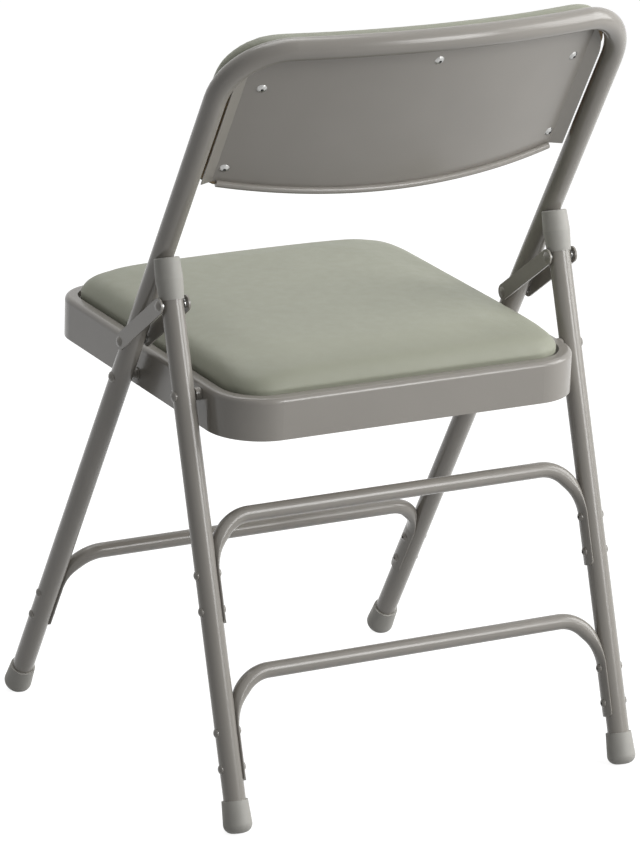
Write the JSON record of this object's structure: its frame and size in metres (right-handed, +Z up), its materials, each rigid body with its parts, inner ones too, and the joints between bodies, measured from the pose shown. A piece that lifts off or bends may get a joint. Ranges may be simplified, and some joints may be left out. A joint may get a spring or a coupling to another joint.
{
  "type": "folding chair",
  "caption": "Folding chair with a steel tube frame, padded seat and back, arched cross braces and side links that fold it flat.",
  "frame": {"origin": "on the floor, at the middle of the bottom of the overall box", "axes": "+Z up, +Y to the rear (the chair faces -Y), +X to the sitter's left"},
  "size_m": [0.4736, 0.5641, 0.7834],
  "materials": {
    "frame_paint": "satin powder coat",
    "grey_plastic": "matt moulded",
    "vinyl": "soft embossed vinyl",
    "plywood": "raw plywood",
    "zinc_steel": "zinc plated"
  },
  "bodies": {
    "front_frame": {"front_frame_tube": "frame_paint", "front_cross_brace": "frame_paint", "front_brace_rivets": "frame_paint", "front_left_foot": "grey_plastic", "front_right_foot": "grey_plastic", "front_pivot_rivets": "frame_paint", "front_pivot_spacers": "frame_paint", "backrest_panel": "frame_paint", "backrest_rivets": "zinc_steel", "backrest_board": "plywood", "backrest_cushion": "vinyl"},
    "seat": {"seat_frame": "frame_paint", "seat_board": "plywood", "seat_cushion": "vinyl", "seat_screws": "zinc_steel", "rear_pivot_heads": "frame_paint"},
    "left_links": {"left_outer_link": "frame_paint", "left_inner_link": "frame_paint", "left_link_rivets": "frame_paint", "left_link_washers": "zinc_steel"},
    "right_links": {"right_outer_link": "frame_paint", "right_inner_link": "frame_paint", "right_link_rivets": "frame_paint", "right_link_washers": "zinc_steel"},
    "rear_legs": {"left_rear_leg": "frame_paint", "right_rear_leg": "frame_paint", "rear_upper_brace": "frame_paint", "rear_lower_brace": "frame_paint", "rear_brace_rivets": "frame_paint", "left_leg_cap": "grey_plastic", "right_leg_cap": "grey_plastic", "rear_left_foot": "grey_plastic", "rear_right_foot": "grey_plastic", "rear_pivot_rivets": "frame_paint", "rear_pivot_spacers": "frame_paint"}
  },
  "joints": [
    {"name": "seat_swing", "type": "hinge", "parent": "front_frame", "child": "seat", "pos_m": [0, -0.01102, 0.40286], "axis": [-1, 0, 0], "range_deg": [0, 116.63]},
    {"name": "left_link_swing", "type": "hinge", "parent": "front_frame", "child": "left_links", "pos_m": [0.2185, 0.01725, 0.4459], "axis": [-1, 0, 0], "range_deg": [0, 139.67]},
    {"name": "right_link_swing", "type": "hinge", "parent": "front_frame", "child": "right_links", "pos_m": [-0.2185, 0.01725, 0.4459], "axis": [-1, 0, 0], "range_deg": [0, 139.67]},
    {"name": "rear_leg_swing", "type": "hinge", "parent": "left_links", "child": "rear_legs", "pos_m": [0.2185, 0.10412, 0.50067], "axis": [1, 0, 0], "range_deg": [0, 91.19]}
  ],
  "couplings": [
    {"joint": "left_link_swing", "follows": "seat_swing", "ratio": 1.1974},
    {"joint": "right_link_swing", "follows": "seat_swing", "ratio": 1.1974},
    {"joint": "rear_leg_swing", "follows": "seat_swing", "ratio": 0.78171}
  ]
}
